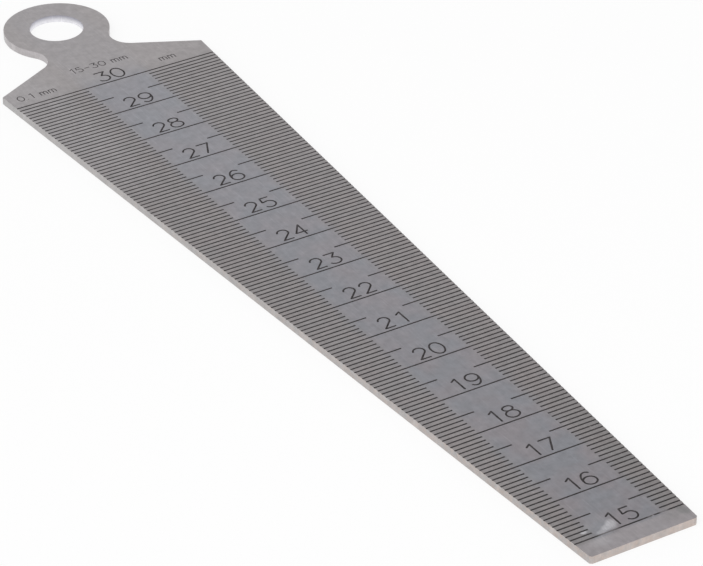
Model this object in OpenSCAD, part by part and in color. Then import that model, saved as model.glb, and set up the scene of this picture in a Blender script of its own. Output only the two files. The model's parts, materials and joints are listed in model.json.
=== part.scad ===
// Taper gauge: one flat steel plate whose width is the reading.
// The plate lies on the XY plane with its tip towards -Y, its eye towards +Y and its scale facing +Z.
// The origin is the middle of its length and width, on the underside.

/* [Scale] */
// Width of the plate at the first long line, which is also the first reading
first_reading = 15; // [11:1:20]
// Width of the plate at the last long line, which is also the last reading
last_reading = 30; // [24:1:45]
// Length of blade over which the width grows by one millimetre
taper = 8; // [5:0.5:12]
// Parts that each whole millimetre of reading is divided into
divisions = 10; // [2:2:20]

/* [Lines] */
// Width of an engraved line
line_w = 0.24; // [0.1:0.01:0.3]
// Depth of an engraved line
line_depth = 0.05; // [0.02:0.01:0.2]
// Plain band down the middle, between the ends of the short lines
band_w = 9.2; // [6:0.1:10]
// Gap down the middle, between the ends of the lines at half a millimetre
half_gap = 5.2; // [3:0.1:5.8]

/* [Plate] */
// Thickness of the plate
thickness = 1; // [0.6:0.1:2]
// Blade left beyond the first line, up to the tip
tip_margin = 2.95; // [1:0.05:8]
// Corner broken off at each side of the tip, measured along its edges
tip_break = 0.25; // [0.05:0.05:0.8]
// Blade left beyond the last line, up to the corners of the shoulders
head_margin = 3.75; // [1:0.05:10]

/* [Eye] */
// Slope of the shoulders, measured from straight across the plate
shoulder_slope = 27; // [10:1:45]
// Narrowest width of the neck below the eye
neck_w = 10.2; // [7:0.1:12]
// Radius of the fillets that run from the shoulders into the eye
neck_fillet = 3.1; // [1:0.1:5]
// Metal around the hanging hole
eye_wall = 3.6; // [2.5:0.1:6]
// Diameter of the hanging hole
hole_d = 7.4; // [5:0.1:12]

/* [Hidden] */

$fn = 96;
steel = [0.56, 0.55, 0.56];
overcut = 1;

// Stations along the blade are measured from the first line, where the width is first_reading.
function half_width(y) = (first_reading + y / taper) / 2;
line_count = (last_reading - first_reading) * divisions;
pitch = taper / divisions;
y_tip = -tip_margin;
y_shoulder = line_count * pitch + head_margin;
shoulder_half = half_width(y_shoulder);

// Each fillet touches its shoulder and the eye, and stands half a neck off the axis.
// Its centre gives the height of the eye.
fillet_x = neck_w / 2 + neck_fillet;
fillet_y = y_shoulder + (shoulder_half - fillet_x) * tan(shoulder_slope)
    + neck_fillet / cos(shoulder_slope);
shoulder_end = [fillet_x - neck_fillet * sin(shoulder_slope),
    fillet_y - neck_fillet * cos(shoulder_slope)];
eye_r = hole_d / 2 + eye_wall;
eye_y = fillet_y + sqrt(pow(eye_r + neck_fillet, 2) - pow(fillet_x, 2));
y_middle = (eye_y + eye_r + y_tip) / 2;

// Right-hand side of the blade and its shoulder, from the tip up to the centre of the fillet
right_side = [
    [half_width(y_tip) - tip_break, y_tip],
    [half_width(y_tip + tip_break), y_tip + tip_break],
    [shoulder_half, y_shoulder],
    shoulder_end,
    [fillet_x, fillet_y]
];
left_side = [for (i = [len(right_side) - 1 : -1 : 0]) [-right_side[i][0], right_side[i][1]]];

module both_sides() {
    children();
    mirror([1, 0]) children();
}

// Blade, shoulders and neck, with the neck's fillets cut as true arcs
module blade_outline() {
    difference() {
        polygon(concat(right_side, [[0, eye_y]], left_side));
        both_sides() translate([fillet_x, fillet_y]) circle(r = neck_fillet);
    }
}

module plate_outline() {
    difference() {
        union() {
            blade_outline();
            translate([0, eye_y]) circle(r = eye_r);
        }
        translate([0, eye_y]) circle(d = hole_d);
    }
}

// Half the gap in the middle of a line: none on a whole millimetre, a short one on a half
function inner_end(i) =
    i % divisions == 0 ? 0 : 2 * i % divisions == 0 ? half_gap / 2 : band_w / 2;

// One line of the scale, cut from both edges of the blade inwards to its inner end
module scale_line(i) {
    inner = inner_end(i);
    reach = half_width(i * pitch) + overcut;
    translate([0, i * pitch - line_w / 2])
        if (inner == 0)
            translate([-reach, 0]) square([2 * reach, line_w]);
        else
            both_sides() translate([inner, 0]) square([reach - inner, line_w]);
}

module gauge_plate() {
    color(steel)
        translate([0, -y_middle, 0])
            difference() {
                linear_extrude(thickness) plate_outline();
                translate([0, 0, thickness - line_depth])
                    linear_extrude(line_depth + overcut)
                        for (i = [0 : line_count]) scale_line(i);
            }
}

gauge_plate();
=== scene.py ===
"""Taper gauge: a flat satin steel plate with a paint-filled engraved scale and single-stroke numerals."""

import json
import math

import bmesh
import bpy
from mathutils import Euler, Matrix, Vector


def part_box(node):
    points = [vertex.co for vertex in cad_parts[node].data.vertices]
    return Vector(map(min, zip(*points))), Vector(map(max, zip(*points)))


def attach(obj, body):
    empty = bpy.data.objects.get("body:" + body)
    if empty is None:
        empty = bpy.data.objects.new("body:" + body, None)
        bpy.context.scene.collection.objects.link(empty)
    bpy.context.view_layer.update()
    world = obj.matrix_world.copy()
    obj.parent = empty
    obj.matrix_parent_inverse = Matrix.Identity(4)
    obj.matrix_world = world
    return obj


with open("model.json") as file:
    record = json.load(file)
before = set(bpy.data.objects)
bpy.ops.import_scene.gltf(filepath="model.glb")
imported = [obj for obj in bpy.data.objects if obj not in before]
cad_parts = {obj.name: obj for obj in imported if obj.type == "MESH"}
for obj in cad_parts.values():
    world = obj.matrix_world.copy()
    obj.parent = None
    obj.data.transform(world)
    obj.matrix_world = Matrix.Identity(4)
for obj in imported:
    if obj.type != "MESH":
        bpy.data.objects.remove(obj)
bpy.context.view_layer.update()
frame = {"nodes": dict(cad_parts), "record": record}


# The plate is one piece of ground stainless sheet, satin on its faces, with a fine grain along the blade.
# Its gauging edges are ground, and its head and hanging hole are punched. Use has rubbed the plain tip
# bright and scuffed the foot of the scale.
MM = 0.001
FIRST_READING = 15
LAST_READING = 30
TAPER = 8
TIP_MARGIN = 2.95 * MM
HEAD_MARGIN = 3.75 * MM
plate = frame["nodes"]["gauge_plate"]
plate_low, plate_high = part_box("gauge_plate")
hang_hole = next(mount for mount in frame["record"]["mounts"] if mount["name"] == "hang_hole")
TOP = plate_high.z
FIRST_LINE = plate_low.y + TIP_MARGIN
LAST_LINE = FIRST_LINE + (LAST_READING - FIRST_READING) * TAPER * MM
SHOULDER = LAST_LINE + HEAD_MARGIN
HOLE_MIDDLE = tuple(hang_hole["pos_m"])
HOLE_RADIUS = hang_hole["dims"]["r_mm"] * MM


def colour(hex_code):
    """An sRGB hex colour as the linear RGBA that a shader takes."""
    parts = [int(hex_code[i : i + 2], 16) / 255 for i in (1, 3, 5)]
    linear = [p / 12.92 if p <= 0.04045 else ((p + 0.055) / 1.055) ** 2.4 for p in parts]
    return (*linear, 1.0)


def add(tree, kind, inputs=None, **settings):
    """Adds a node. inputs maps a socket's name or number to a value, or to the output that feeds it. A Mix
    node takes its share at 0 and its colours at 6 and 7, and gives their mix at output 2."""
    node = tree.nodes.new(kind)
    for name, value in settings.items():
        setattr(node, name, value)
    for socket, value in (inputs or {}).items():
        if isinstance(value, bpy.types.NodeSocket):
            tree.links.new(value, node.inputs[socket])
        else:
            node.inputs[socket].default_value = value
    return node


def new_material(name):
    """An empty material, its node tree and its Principled shader."""
    material = bpy.data.materials.new(name)
    material.use_nodes = True
    tree = material.node_tree
    return material, tree, tree.nodes["Principled BSDF"]


def spots(tree, where, marks):
    """Soft ovals on the top face, as one mask. Each mark is the place of its middle from the axis and the
    first line, its half-width, half-length, turn and strength. It has that strength over its core."""
    core = 0.4
    reach_down = 0.5 * MM
    total = None
    for x, y, across, along, turn, strength in marks:
        oval = add(tree, "ShaderNodeMapping", {
            "Vector": where, "Location": (x * MM, FIRST_LINE + y * MM, TOP),
            "Rotation": (0, 0, math.radians(turn)), "Scale": (across * MM, along * MM, reach_down),
        }, vector_type="TEXTURE")
        fall = add(tree, "ShaderNodeTexGradient", {"Vector": oval.outputs[0]}, gradient_type="SPHERICAL")
        soft = add(tree, "ShaderNodeMapRange", {
            "Value": fall.outputs["Fac"], "From Min": 0.0, "From Max": 1 - core,
            "To Min": 0.0, "To Max": strength,
        }, interpolation_type="SMOOTHSTEP")
        if total is None:
            total = soft.outputs[0]
        else:
            larger = add(tree, "ShaderNodeMath", {0: total, 1: soft.outputs[0]}, operation="MAXIMUM")
            total = larger.outputs[0]
    return total


# Ground stainless steel mirrors the white room, and its grain blurs that to a satin sheen
steel, tree, shader = new_material("Satin ground stainless steel")
shader.inputs["Metallic"].default_value = 1.0
place = add(tree, "ShaderNodeTexCoord")
where = place.outputs["Object"]
apart = add(tree, "ShaderNodeSeparateXYZ", {"Vector": where})
along = apart.outputs["Y"]

# Cool and warm clouds over the whole face, which fade towards the head
FACE_COOL = "#B1B2B9"
FACE_WARM = "#B8B2B7"
CLOUD_SIZE = 4.5 * MM
CLOUDS_AT_HEAD = 0.35
clouds = add(tree, "ShaderNodeTexNoise", {
    "Vector": where, "Scale": 1 / CLOUD_SIZE, "Detail": 2.0, "Roughness": 0.5,
})
cloud_reach = add(tree, "ShaderNodeMapRange", {
    "Value": along, "From Min": FIRST_LINE, "From Max": LAST_LINE, "To Min": 1.0, "To Max": CLOUDS_AT_HEAD,
})
cloud_share = add(tree, "ShaderNodeMapRange", {
    "Value": clouds.outputs["Fac"], "From Min": 0.36, "From Max": 0.64,
    "To Min": 0.0, "To Max": cloud_reach.outputs[0],
})
blade_colour = add(tree, "ShaderNodeMix", {
    0: cloud_share.outputs[0], 6: colour(FACE_COOL), 7: colour(FACE_WARM),
}, data_type="RGBA")

# The lined fields beside the plain middle band are a shade warmer than the band, on the top face only.
# The underside has none.
FACE_LINED = "#BBB3AF"
FACE_SKIN = 0.2 * MM
WARM_FIELD_START = 3.6 * MM
WARM_FIELD_FULL = 6.0 * MM
WARM_FIELD_SHARE = 0.55
from_axis = add(tree, "ShaderNodeMath", {0: apart.outputs["X"]}, operation="ABSOLUTE")
warm_field_reach = add(tree, "ShaderNodeMapRange", {
    "Value": apart.outputs["Z"], "From Min": TOP - FACE_SKIN, "From Max": TOP,
    "To Min": 0.0, "To Max": WARM_FIELD_SHARE,
})
warm_fields = add(tree, "ShaderNodeMapRange", {
    "Value": from_axis.outputs[0], "From Min": WARM_FIELD_START, "From Max": WARM_FIELD_FULL,
    "To Min": 0.0, "To Max": warm_field_reach.outputs[0],
}, interpolation_type="SMOOTHSTEP")
fields_warmed = add(tree, "ShaderNodeMix", {
    0: warm_fields.outputs[0], 6: blade_colour.outputs[2], 7: colour(FACE_LINED),
}, data_type="RGBA")

# The plain tip is rubbed bright, and the head beyond the scale is lighter and warmer than the blade
FACE_TIP = "#CCC6C9"
TIP_START = FIRST_LINE - 0.1 * MM
TIP_FULL = FIRST_LINE - 0.7 * MM
TIP_SHARE = 0.85
FACE_HEAD = "#C3BEBF"
HEAD_START = LAST_LINE - 2 * MM
HEAD_FULL = LAST_LINE + 4 * MM
HEAD_SHARE = 0.8
tip_share = add(tree, "ShaderNodeMapRange", {
    "Value": along, "From Min": TIP_START, "From Max": TIP_FULL, "To Min": 0.0, "To Max": TIP_SHARE,
}, interpolation_type="SMOOTHSTEP")
tipped = add(tree, "ShaderNodeMix", {
    0: tip_share.outputs[0], 6: fields_warmed.outputs[2], 7: colour(FACE_TIP),
}, data_type="RGBA")
head_share = add(tree, "ShaderNodeMapRange", {
    "Value": along, "From Min": HEAD_START, "From Max": HEAD_FULL, "To Min": 0.0, "To Max": HEAD_SHARE,
}, interpolation_type="SMOOTHSTEP")
headed = add(tree, "ShaderNodeMix", {
    0: head_share.outputs[0], 6: tipped.outputs[2], 7: colour(FACE_HEAD),
}, data_type="RGBA")

# Scuffs beside the first numeral and a smudge at the right-hand corner of the tip, with painted reflection
# that lightens the left of the blade and painted shade that darkens its right
SCUFF_AND_SHEEN = "#EDECF0"
SCUFF_WIDTH = 0.11 * MM
SCUFF_LENGTH = 1.0 * MM
SCUFF_TURN = math.radians(50)
SMUDGE_AND_SHADE = "#8F9391"
scuffs_and_painted_sheen = spots(tree, where, [
    (-1.8, 1.15, 0.95, 1.2, -28, 0.62),
    (-2.5, 0.85, 1.35, 0.75, 16, 0.66),
    (-3.4, 0.45, 1.1, 0.6, 8, 0.44),
    (-5.35, 1.36, 0.6, 0.42, 0, 0.8),
    (-3.4, 2.1, 2.2, 1.6, 40, 0.12),
    # These three wide, faint patches are painted reflection, which lightens the left of the blade
    (-4.6, -1.1, 1.9, 1.2, 0, 0.2),
    (-7.0, 30.0, 5.0, 36.0, 3, 0.05),
    (-12.0, 112.0, 7.0, 24.0, 3, 0.16),
])
scuff_place = add(tree, "ShaderNodeMapping", {
    "Vector": where, "Rotation": (0, 0, SCUFF_TURN),
    "Scale": (1 / SCUFF_WIDTH, 1 / SCUFF_LENGTH, 1 / SCUFF_LENGTH),
})
scuff_marks = add(tree, "ShaderNodeTexNoise", {
    "Vector": scuff_place.outputs[0], "Scale": 1.0, "Detail": 3.0, "Roughness": 0.65,
})
scuff_broken = add(tree, "ShaderNodeMapRange", {
    "Value": scuff_marks.outputs["Fac"], "From Min": 0.36, "From Max": 0.62,
    "To Min": 0.5, "To Max": 1.25,
})
scuff_and_sheen_share = add(tree, "ShaderNodeMath", {0: scuffs_and_painted_sheen, 1: scuff_broken.outputs[0]}, operation="MULTIPLY")
bright = add(tree, "ShaderNodeMix", {
    0: scuff_and_sheen_share.outputs[0], 6: headed.outputs[2], 7: colour(SCUFF_AND_SHEEN),
}, data_type="RGBA")
# The first mark is a smudge at the right-hand corner of the tip. The other two, wider and fainter, are
# painted shade that darkens the right of the blade.
smudge_and_painted_shade = spots(tree, where, [
    (6.7, -0.9, 1.0, 1.3, 20, 0.45), (4.9, -1.2, 1.6, 1.0, 0, 0.2), (8.0, 12.0, 4.0, 18.0, -3, 0.16),
])
face_colour = add(tree, "ShaderNodeMix", {
    0: smudge_and_painted_shade, 6: bright.outputs[2], 7: colour(SMUDGE_AND_SHADE),
}, data_type="RGBA")

# Ground gauging edges, a warmer tip end, the duller punched edge of the head and eye, and the hole, whose
# wall has painted shade at the lip that fades into a painted reflection of the white floor below it
GROUND_EDGE = "#B3B1B1"
GROUND_EDGE_MARKS = "#BDB1AB"
TIP_END = "#BDB6B3"
TIP_END_MARKS = "#C5B8B1"
PUNCHED_EDGE = "#B9B5B6"
EDGE_MARK_SIZE = 0.7 * MM
EDGE_MARKS_AT_HEAD = 0.1
# The hole wall's colours are painted light: painted shade at the lip, and a bright painted reflection of
# the white floor below it
HOLE_LIP_SHADE = "#9A99A4"
HOLE_FLOOR_REFLECTION = "#EAE9EE"
HOLE_LIP_DEPTH = 0.75 * MM
HOLE_MARGIN = 0.1 * MM
edge_marks = add(tree, "ShaderNodeTexNoise", {
    "Vector": where, "Scale": 1 / EDGE_MARK_SIZE, "Detail": 4.0, "Roughness": 0.6,
})
edge_reach = add(tree, "ShaderNodeMapRange", {
    "Value": along, "From Min": FIRST_LINE, "From Max": LAST_LINE,
    "To Min": 1.0, "To Max": EDGE_MARKS_AT_HEAD,
})
edge_share = add(tree, "ShaderNodeMapRange", {
    "Value": edge_marks.outputs["Fac"], "From Min": 0.35, "From Max": 0.65,
    "To Min": 0.0, "To Max": edge_reach.outputs[0],
})
direction = add(tree, "ShaderNodeSeparateXYZ", {"Vector": place.outputs["Normal"]})
ground = add(tree, "ShaderNodeMix", {
    0: edge_share.outputs[0], 6: colour(GROUND_EDGE), 7: colour(GROUND_EDGE_MARKS),
}, data_type="RGBA")
tip_end = add(tree, "ShaderNodeMix", {
    0: edge_share.outputs[0], 6: colour(TIP_END), 7: colour(TIP_END_MARKS),
}, data_type="RGBA")
facing_tip = add(tree, "ShaderNodeMath", {0: direction.outputs["Y"], 1: -0.5}, operation="LESS_THAN")
ground_both = add(tree, "ShaderNodeMix", {
    0: facing_tip.outputs[0], 6: ground.outputs[2], 7: tip_end.outputs[2],
}, data_type="RGBA")
punched = add(tree, "ShaderNodeMath", {0: along, 1: SHOULDER}, operation="GREATER_THAN")
edged = add(tree, "ShaderNodeMix", {
    0: punched.outputs[0], 6: ground_both.outputs[2], 7: colour(PUNCHED_EDGE),
}, data_type="RGBA")
from_hole = add(tree, "ShaderNodeVectorMath", {0: where, 1: HOLE_MIDDLE}, operation="DISTANCE")
in_hole = add(tree, "ShaderNodeMath", {
    0: from_hole.outputs["Value"], 1: HOLE_RADIUS + HOLE_MARGIN,
}, operation="LESS_THAN")
hole_depth = add(tree, "ShaderNodeMapRange", {
    "Value": apart.outputs["Z"], "From Min": TOP, "From Max": TOP - HOLE_LIP_DEPTH,
    "To Min": 0.0, "To Max": 1.0,
})
hole_painted_light = add(tree, "ShaderNodeMix", {
    0: hole_depth.outputs[0], 6: colour(HOLE_LIP_SHADE), 7: colour(HOLE_FLOOR_REFLECTION),
}, data_type="RGBA")
walled = add(tree, "ShaderNodeMix", {
    0: in_hole.outputs[0], 6: edged.outputs[2], 7: hole_painted_light.outputs[2],
}, data_type="RGBA")
upright = add(tree, "ShaderNodeMath", {0: direction.outputs["Z"]}, operation="ABSOLUTE")
side = add(tree, "ShaderNodeMath", {0: upright.outputs[0], 1: 0.5}, operation="LESS_THAN")
steel_colour = add(tree, "ShaderNodeMix", {
    0: side.outputs[0], 6: face_colour.outputs[2], 7: walled.outputs[2],
}, data_type="RGBA")

# Grinding grain along the blade, slanting hairline scratches and the faint marks of handling, as small
# changes of shade. Grain and scratches are drawn a few times coarser than they are, so that they show.
GRAIN_WIDTH = 0.12 * MM
GRAIN_LENGTH = 6 * MM
GRAIN_SHADE = 0.04
HANDLING_SIZE = 1.1 * MM
HANDLING_SHADE = 0.1
SCRATCH_WIDTH = 0.14 * MM
SCRATCH_LENGTH = 4 * MM
SCRATCH_TURN = math.radians(32)
SCRATCH_SHADE = 0.12
grain_place = add(tree, "ShaderNodeMapping", {
    "Vector": where, "Scale": (1 / GRAIN_WIDTH, 1 / GRAIN_LENGTH, 1 / GRAIN_WIDTH),
})
grain = add(tree, "ShaderNodeTexNoise", {
    "Vector": grain_place.outputs[0], "Scale": 1.0, "Detail": 3.0, "Roughness": 0.6,
})
grain_shade = add(tree, "ShaderNodeMapRange", {
    "Value": grain.outputs["Fac"], "From Min": 0.3, "From Max": 0.7,
    "To Min": 1 - GRAIN_SHADE, "To Max": 1 + GRAIN_SHADE,
})
handling = add(tree, "ShaderNodeTexNoise", {
    "Vector": where, "Scale": 1 / HANDLING_SIZE, "Detail": 4.0, "Roughness": 0.65,
})
handling_shade = add(tree, "ShaderNodeMapRange", {
    "Value": handling.outputs["Fac"], "From Min": 0.3, "From Max": 0.7,
    "To Min": 1 - HANDLING_SHADE, "To Max": 1 + HANDLING_SHADE,
})
scratch_place = add(tree, "ShaderNodeMapping", {
    "Vector": where, "Rotation": (0, 0, SCRATCH_TURN),
    "Scale": (1 / SCRATCH_WIDTH, 1 / SCRATCH_LENGTH, 1 / SCRATCH_LENGTH),
})
scratch_lines = add(tree, "ShaderNodeTexNoise", {
    "Vector": scratch_place.outputs[0], "Scale": 1.0, "Detail": 1.0, "Distortion": 0.1,
})
scratched = add(tree, "ShaderNodeMapRange", {
    "Value": scratch_lines.outputs["Fac"], "From Min": 0.63, "From Max": 0.72,
    "To Min": 1.0, "To Max": 1 + SCRATCH_SHADE,
})
marked = add(tree, "ShaderNodeMath", {
    0: grain_shade.outputs[0], 1: scratched.outputs[0],
}, operation="MULTIPLY")
shade = add(tree, "ShaderNodeMath", {
    0: marked.outputs[0], 1: handling_shade.outputs[0],
}, operation="MULTIPLY")
shaded = add(tree, "ShaderNodeVectorMath", {
    0: steel_colour.outputs[2], 3: shade.outputs[0],
}, operation="SCALE")
tree.links.new(shaded.outputs[0], shader.inputs["Base Color"])

# Satin all over, rougher on the scuffs and on the patches of painted sheen, with a bump from the same
# grain
SMOOTHEST = 0.28
ROUGHEST = 0.36
SCUFF_ROUGHNESS = 0.2
GRAIN_BUMP = 0.15
GRAIN_DEPTH = 0.01 * MM
rough = add(tree, "ShaderNodeMapRange", {
    "Value": grain.outputs["Fac"], "From Min": 0.3, "From Max": 0.7,
    "To Min": SMOOTHEST, "To Max": ROUGHEST,
})
scuff_rough = add(tree, "ShaderNodeMath", {
    0: scuffs_and_painted_sheen, 1: SCUFF_ROUGHNESS, 2: rough.outputs[0],
}, operation="MULTIPLY_ADD")
tree.links.new(scuff_rough.outputs[0], shader.inputs["Roughness"])
bump = add(tree, "ShaderNodeBump", {
    "Height": grain.outputs["Fac"], "Strength": GRAIN_BUMP, "Distance": GRAIN_DEPTH,
})
tree.links.new(bump.outputs[0], shader.inputs["Normal"])
plate.data.materials.clear()
plate.data.materials.append(steel)


# Each line of the scale is an engraved groove wiped full of black enamel, which dries a little below
# the face. The grooves are in the plate, and this piece is the enamel in them. It has chipped out in two
# places and rubbed thin along the first line.
DIVISIONS = 10
BAND = 9.2 * MM
HALF_GAP = 5.2 * MM
LINE_WIDTH = 0.24 * MM
LINE_DEPTH = 0.05 * MM
PAINT_SINK = 0.008 * MM
PAINT_KEY = 0.005 * MM
PAINT_END = 0.03 * MM
CHIPS = {0: (3.1 * MM, 3.4 * MM), 23: (7.2 * MM, 7.4 * MM)}
PAINT = "#151112"
PAINT_GREY = "#3A3335"
PAINT_WORN = "#8C898B"
PAINT_SPECK_SIZE = 0.5 * MM
PAINT_ROUGHNESS = 0.65

# Engraving enamel is matt and near black, and turns grey where it has dried thin or rubbed off
paint, tree, shader = new_material("Black engraving enamel")
place = add(tree, "ShaderNodeTexCoord")
specks = add(tree, "ShaderNodeTexNoise", {
    "Vector": place.outputs["Object"], "Scale": 1 / PAINT_SPECK_SIZE, "Detail": 3.0,
})
speck_share = add(tree, "ShaderNodeMapRange", {
    "Value": specks.outputs["Fac"], "From Min": 0.4, "From Max": 0.7, "To Min": 0.0, "To Max": 1.0,
})
paint_colour = add(tree, "ShaderNodeMix", {
    0: speck_share.outputs[0], 6: colour(PAINT), 7: colour(PAINT_GREY),
}, data_type="RGBA")
rubbed = spots(tree, place.outputs["Object"], [
    (-2.9, 0.0, 1.9, 0.8, 0, 0.5), (2.9, 0.0, 0.7, 0.5, 0, 0.35), (4.7, 0.0, 0.8, 0.5, 0, 0.55),
])
worn_colour = add(tree, "ShaderNodeMix", {
    0: rubbed, 6: paint_colour.outputs[2], 7: colour(PAINT_WORN),
}, data_type="RGBA")
tree.links.new(worn_colour.outputs[2], shader.inputs["Base Color"])
shader.inputs["Roughness"].default_value = PAINT_ROUGHNESS


def new_piece(name, work, material):
    """Makes a riding piece of a bmesh whose places are already those of the plate's frame."""
    mesh = bpy.data.meshes.new(name)
    bmesh.ops.recalc_face_normals(work, faces=work.faces)
    work.to_mesh(mesh)
    work.free()
    mesh.materials.append(material)
    piece = bpy.data.objects.new(name, mesh)
    bpy.context.scene.collection.objects.link(piece)
    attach(piece, "root")
    return piece


def paint_bar(work, from_x, to_x, y):
    """One straight run of enamel across the plate, filling its groove and keyed into its walls."""
    depth = LINE_DEPTH - PAINT_SINK + PAINT_KEY
    size = Matrix.Diagonal((to_x - from_x, LINE_WIDTH + 2 * PAINT_KEY, depth, 1))
    middle = Matrix.Translation(((from_x + to_x) / 2, y, TOP - PAINT_SINK - depth / 2))
    bmesh.ops.create_cube(work, size=1.0, matrix=middle @ size)


work = bmesh.new()
for i in range((LAST_READING - FIRST_READING) * DIVISIONS + 1):
    line_y = i * TAPER * MM / DIVISIONS
    reach = (FIRST_READING * MM + line_y / TAPER) / 2 - PAINT_END
    if i % DIVISIONS == 0:
        runs = [(-reach, reach)]
    else:
        inner = (HALF_GAP if 2 * i % DIVISIONS == 0 else BAND) / 2
        runs = [(-reach, -inner), (inner, reach)]
    if i in CHIPS:
        chip_from, chip_to = CHIPS[i]
        start, end = runs.pop()
        runs += [(start, chip_from), (chip_to, end)]
    for start, end in runs:
        paint_bar(work, start, end, FIRST_LINE + line_y)
line_paint = new_piece("line_paint", work, paint)


# The numerals are cut with one round-ended cutter and filled like the lines. Each figure is made of
# strokes of one width, in a cell about 2 mm wide just above its own line. The plate has no grooves under
# them, so their enamel stands a hair above the face.
STROKE = 0.25 * MM
STROKE_HEIGHT = 0.01 * MM
LEFT_CELL = -1.16 * MM
RIGHT_CELL = 1.11 * MM
BASE = 0.56 * MM
SAME_POINT = 1e-6
WELD = 1e-5 * MM


def arc(x, y, across, up, start, end, steps=14):
    """Points along an oval arc, in degrees counter-clockwise from its right-hand side."""
    turns = [math.radians(start + (end - start) * k / steps) for k in range(steps + 1)]
    return [(x + across * math.cos(t), y + up * math.sin(t)) for t in turns]


# Each figure's strokes, in millimetres from the middle of its foot
FIGURES = {
    "0": [arc(0, 1.23, 0.86, 1.23, 90, 450, 28)],
    "1": [[(-0.32, 2.04), (0.3, 2.46)], [(0.3, 2.46), (0.3, 0.06)]],
    "2": [arc(0, 1.74, 0.73, 0.7, 164, -38) + [(-0.71, 0.04)], [(-0.71, 0.04), (0.64, 0.04)]],
    "3": [[(-0.68, 2.46), (0.7, 2.46)], [(0.7, 2.46), (0.02, 1.56)], arc(0, 0.79, 0.85, 0.77, 88, -147)],
    "4": [[(0.32, 0.06), (0.32, 2.46)], [(0.32, 2.46), (-0.86, 0.72)], [(-0.86, 0.72), (0.7, 0.72)]],
    "5": [[(0.52, 2.46), (-0.56, 2.46)], [(-0.56, 2.46), (-0.71, 1.44)],
          [(-0.71, 1.44)] + arc(0.03, 0.8, 0.82, 0.78, 116, -142)],
    "6": [arc(0, 0.8, 0.84, 0.78, 180, 540, 28), arc(0.13, 0.86, 0.97, 1.6, 180, 60)],
    "7": [[(-0.72, 2.46), (0.86, 2.46)], [(0.86, 2.46), (-0.26, 0.12)]],
    "8": [arc(0, 1.98, 0.67, 0.5, 270, -90, 24), arc(0, 0.75, 0.87, 0.73, 90, 450, 26)],
    "9": [arc(0.01, 1.7, 0.84, 0.77, 0, 360, 28), arc(-0.13, 1.64, 0.98, 1.6, 0, -124)],
}


def engrave(work, strokes, x, y, size=1.0):
    """Adds flat round-ended strokes of enamel, drawn in millimetres, with their foot at x, y. A stroke
    that comes back to its start is a ring, and one dot rounds off the strokes that meet at a corner."""
    flatten = Matrix.Diagonal((size, size, 2 * STROKE_HEIGHT / STROKE, 1))
    to_face = Matrix.Translation((x, y, TOP)) @ flatten
    curve = bpy.data.curves.new("strokes", "CURVE")
    curve.dimensions = "3D"
    curve.bevel_depth = STROKE / 2
    curve.bevel_resolution = 2
    curve.use_fill_caps = True
    ends = set()
    for points in strokes:
        spline = curve.splines.new("POLY")
        if math.dist(points[0], points[-1]) < SAME_POINT:
            spline.use_cyclic_u = True
            points = points[:-1]
        else:
            ends |= {(round(px, 3), round(py, 3)) for px, py in (points[0], points[-1])}
        spline.points.add(len(points) - 1)
        for point, (px, py) in zip(spline.points, points):
            point.co = (px * MM, py * MM, 0, 1)
    carrier = bpy.data.objects.new("strokes", curve)
    tubes = bmesh.new()
    tubes.from_mesh(carrier.to_mesh())
    carrier.to_mesh_clear()
    bpy.data.objects.remove(carrier)
    bpy.data.curves.remove(curve)
    bmesh.ops.remove_doubles(tubes, verts=tubes.verts, dist=WELD)
    for px, py in sorted(ends):
        end = Matrix.Translation((px * MM, py * MM, 0))
        bmesh.ops.create_uvsphere(tubes, u_segments=12, v_segments=6, radius=STROKE / 2, matrix=end)
    bmesh.ops.transform(tubes, matrix=to_face, verts=tubes.verts)
    mesh = bpy.data.meshes.new("strokes")
    tubes.to_mesh(mesh)
    tubes.free()
    work.from_mesh(mesh)
    bpy.data.meshes.remove(mesh)


work = bmesh.new()
for reading in range(FIRST_READING, LAST_READING + 1):
    foot = FIRST_LINE + (reading - FIRST_READING) * TAPER * MM + BASE
    for figure, cell in zip(str(reading), (LEFT_CELL, RIGHT_CELL)):
        engrave(work, FIGURES[figure], cell, foot)
numerals = new_piece("numerals", work, paint)


# Beyond the last line stand three small marks that say what the scale reads: its unit at the right, the
# worth of one short line at the left, and its range in the middle. The same cutter made them, at about
# half the size of the numerals.
MARK_SIZE = 0.52
# Each mark, the place of its middle from the axis and the height of its foot above the last line
MARKS = [("mm", 8.9, 1.5), ("0.1 mm", -11.0, 1.5), ("15-30 mm", 0.0, 4.5)]
# The room that each sign takes at the size of the numerals, in millimetres
ADVANCE = {"1": 1.7, ".": 1.0, "-": 2.0, "m": 2.5, " ": 1.3}
FIGURE_ADVANCE = 2.3
SIGNS = {
    ".": [[(0, 0.06), (0, 0.1)]],
    "-": [[(-0.6, 1.2), (0.6, 1.2)]],
    "m": [[(-0.92, 0.06), (-0.92, 1.62)],
          [(-0.92, 1.1)] + arc(-0.46, 1.16, 0.46, 0.46, 180, 0) + [(0, 0.06)],
          [(0, 1.1)] + arc(0.46, 1.16, 0.46, 0.46, 180, 0) + [(0.92, 0.06)]],
    " ": [],
}

work = bmesh.new()
for words, middle, foot in MARKS:
    widths = [ADVANCE.get(sign, FIGURE_ADVANCE) * MARK_SIZE for sign in words]
    pen = middle - sum(widths) / 2
    for sign, width in zip(words, widths):
        strokes = FIGURES[sign] if sign in FIGURES else SIGNS[sign]
        engrave(work, strokes, (pen + width / 2) * MM, LAST_LINE + foot * MM, MARK_SIZE)
        pen += width
unit_marks = new_piece("unit_marks", work, paint)


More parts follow.
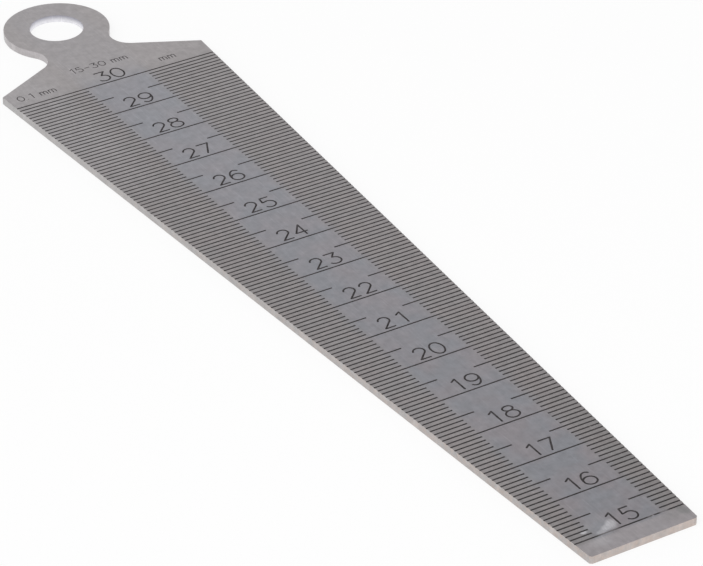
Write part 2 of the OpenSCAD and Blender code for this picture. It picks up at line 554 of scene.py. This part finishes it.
# The floor is a plain matt white sheet just under the plate. The camera and the steel see it as white,
# because it glows for them, and it keeps a soft shadow.
FLOOR_HALF = 1.5
FLOOR_DROP = 0.02 * MM
FLOOR_WHITE = "#FAFAFA"
FLOOR_ROUGHNESS = 0.9
FLOOR_GLOW = 0.8
work = bmesh.new()
bmesh.ops.create_grid(work, x_segments=1, y_segments=1, size=FLOOR_HALF)
bmesh.ops.translate(work, verts=work.verts, vec=(0, 0, -FLOOR_DROP))
mesh = bpy.data.meshes.new("floor")
work.to_mesh(mesh)
work.free()
floor = bpy.data.objects.new("floor", mesh)
bpy.context.scene.collection.objects.link(floor)
white, tree, shader = new_material("White sheet")
shader.inputs["Base Color"].default_value = colour(FLOOR_WHITE)
shader.inputs["Roughness"].default_value = FLOOR_ROUGHNESS
seen = add(tree, "ShaderNodeLightPath")
either = add(tree, "ShaderNodeMath", {
    0: seen.outputs["Is Camera Ray"], 1: seen.outputs["Is Glossy Ray"],
}, operation="MAXIMUM")
shown = add(tree, "ShaderNodeMath", {
    0: either.outputs[0], 1: seen.outputs["Is Transmission Ray"],
}, operation="MAXIMUM")
glow = add(tree, "ShaderNodeEmission", {"Color": (1, 1, 1, 1), "Strength": 1.0})
share = add(tree, "ShaderNodeMath", {0: shown.outputs[0], 1: FLOOR_GLOW}, operation="MULTIPLY")
mixed = add(tree, "ShaderNodeMixShader", {0: share.outputs[0], 1: shader.outputs[0], 2: glow.outputs[0]})
tree.links.new(mixed.outputs[0], tree.nodes["Material Output"].inputs["Surface"])
mesh.materials.append(white)


# Soft studio light: a wide panel above and behind the camera, a weaker one from the left, and a room
# that is bright at the horizon and darker overhead.
HORIZON = 1.0
OVERHEAD = 0.28


def panel(name, where, size, power):
    """A square lamp that faces the middle of the plate."""
    lamp = bpy.data.lights.new(name, "AREA")
    lamp.size = size
    lamp.energy = power
    holder = bpy.data.objects.new(name, lamp)
    holder.location = where
    holder.rotation_euler = Vector(where).to_track_quat("Z", "Y").to_euler()
    bpy.context.scene.collection.objects.link(holder)


panel("overhead", where=(-0.3, -0.4, 1.3), size=2.4, power=18.0)
panel("left", where=(-1.0, -0.43, 0.7), size=1.0, power=3.0)

world = bpy.data.worlds.new("Studio")
bpy.context.scene.world = world
world.use_nodes = True
tree = world.node_tree
seen = add(tree, "ShaderNodeLightPath")
room = add(tree, "ShaderNodeTexCoord")
height = add(tree, "ShaderNodeSeparateXYZ", {"Vector": room.outputs["Generated"]})
walls = add(tree, "ShaderNodeMapRange", {
    "Value": height.outputs["Z"], "From Min": 0.2, "From Max": 0.75,
    "To Min": HORIZON, "To Max": OVERHEAD,
}, interpolation_type="SMOOTHSTEP")
strength = add(tree, "ShaderNodeMix", {0: seen.outputs["Is Camera Ray"], 2: walls.outputs[0], 3: 1.0})
background = tree.nodes["Background"]
background.inputs["Color"].default_value = (1, 1, 1, 1)
tree.links.new(strength.outputs[0], background.inputs["Strength"])


# The camera looks down the blade from in front and to the left, through a long lens.
AIM = Vector((0.03, -11.1, 1.0)) * MM
DISTANCE = 479.4 * MM
AZIMUTH = math.radians(-31.5)
ELEVATION = math.radians(32.13)
ROLL = math.radians(-0.1)
eye = bpy.data.cameras.new("camera")
eye.lens = 199.2
eye.sensor_width = 36
eye.clip_start = 0.01
camera = bpy.data.objects.new("camera", eye)
level = Vector((math.sin(AZIMUTH), -math.cos(AZIMUTH), 0))
back = level * math.cos(ELEVATION) + Vector((0, 0, math.sin(ELEVATION)))
camera.location = AIM + DISTANCE * back
camera.rotation_euler = (back.to_track_quat("Z", "Y") @ Euler((0, 0, ROLL)).to_quaternion()).to_euler()
bpy.context.scene.collection.objects.link(camera)
bpy.context.scene.camera = camera

bpy.context.scene.view_settings.view_transform = "Standard"
